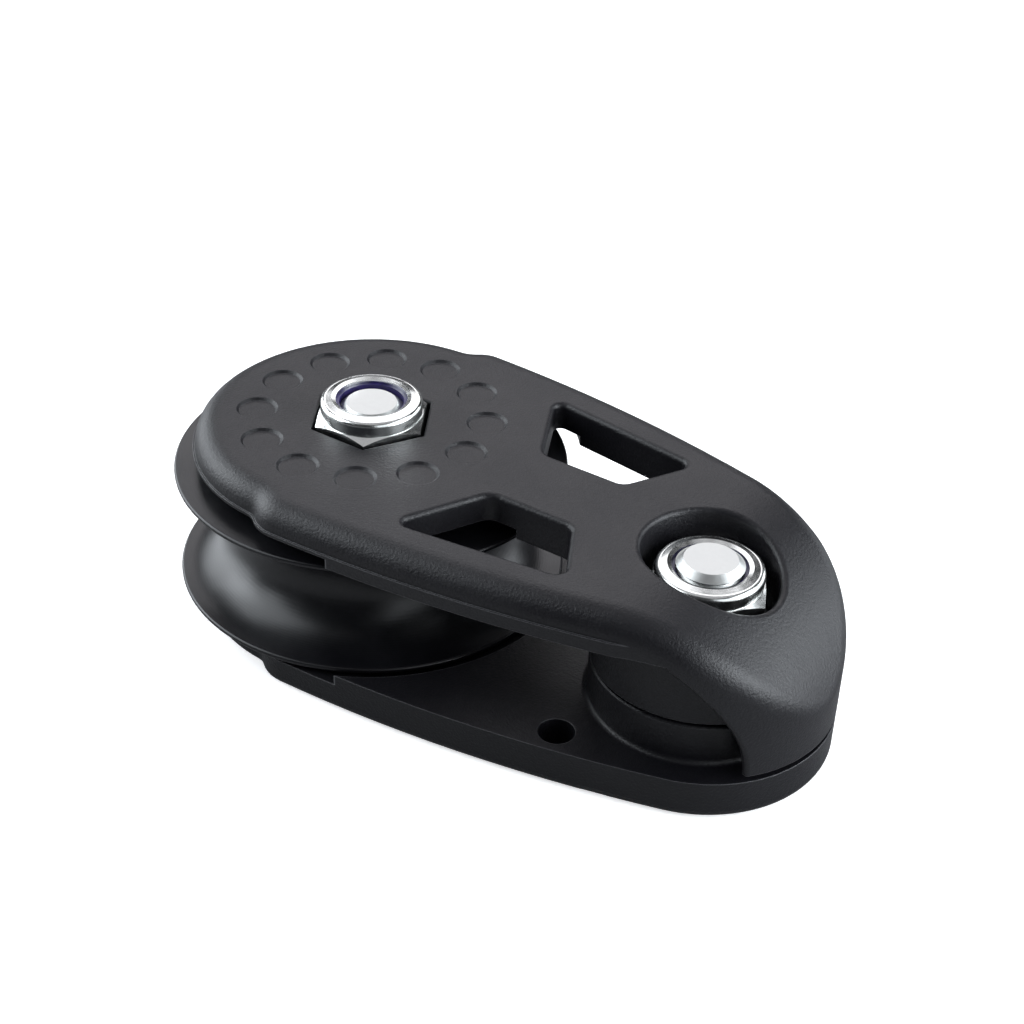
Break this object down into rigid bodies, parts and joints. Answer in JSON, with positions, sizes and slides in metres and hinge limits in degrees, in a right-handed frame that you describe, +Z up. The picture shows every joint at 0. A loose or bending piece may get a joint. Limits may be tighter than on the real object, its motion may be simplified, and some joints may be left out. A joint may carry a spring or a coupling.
{
  "type": "single sheave block",
  "caption": "Low foot block: a grooved rope sheave on ball bearings between a flat base and a hooded upper cheek, held by through bolts with lock nuts.",
  "frame": {"origin": "sheave axle axis, in the plane of the flat underside", "axes": "+X along the block from the axle towards the head, +Z up along the axle, +Y across"},
  "size_m": [0.0896, 0.0494, 0.0285],
  "materials": {
    "shell": "fine moulded grain, glass-filled nylon",
    "base": "fine moulded grain, glass-filled nylon",
    "sheave": "satin, turned acetal",
    "steel": "bright stainless",
    "insert": "satin nylon",
    "bearing_plastic": "smooth acetal",
    "retainer": "satin nylon"
  },
  "bodies": {
    "frame": {"top_shell": "shell", "bottom_plate": "base", "axle_sleeve": "steel", "thrust_washer_upper": "bearing_plastic", "thrust_washer_lower": "bearing_plastic", "axle_bolt": "steel", "head_bolt": "steel", "axle_nut": "steel", "head_nut": "steel", "axle_nut_insert": "insert", "head_nut_insert": "insert", "head_washer": "steel", "head_sleeve": "steel", "locating_pins": "steel"},
    "sheave": {"sheave": "sheave", "outer_race": "steel", "retainer_ring_upper": "retainer", "retainer_ring_lower": "retainer"},
    "ball_set": {"ball_row_upper": "bearing_plastic", "ball_row_lower": "bearing_plastic", "ball_cage": "retainer"}
  },
  "joints": [
    {"name": "sheave_spin", "type": "hinge", "parent": "frame", "child": "sheave", "pos_m": [0, 0, 0.0122], "axis": [0, 0, 1], "continuous": true},
    {"name": "ball_orbit", "type": "hinge", "parent": "frame", "child": "ball_set", "pos_m": [0, 0, 0.0122], "axis": [0, 0, 1], "continuous": true}
  ],
  "couplings": [
    {"joint": "ball_orbit", "follows": "sheave_spin", "ratio": 0.6149}
  ]
}
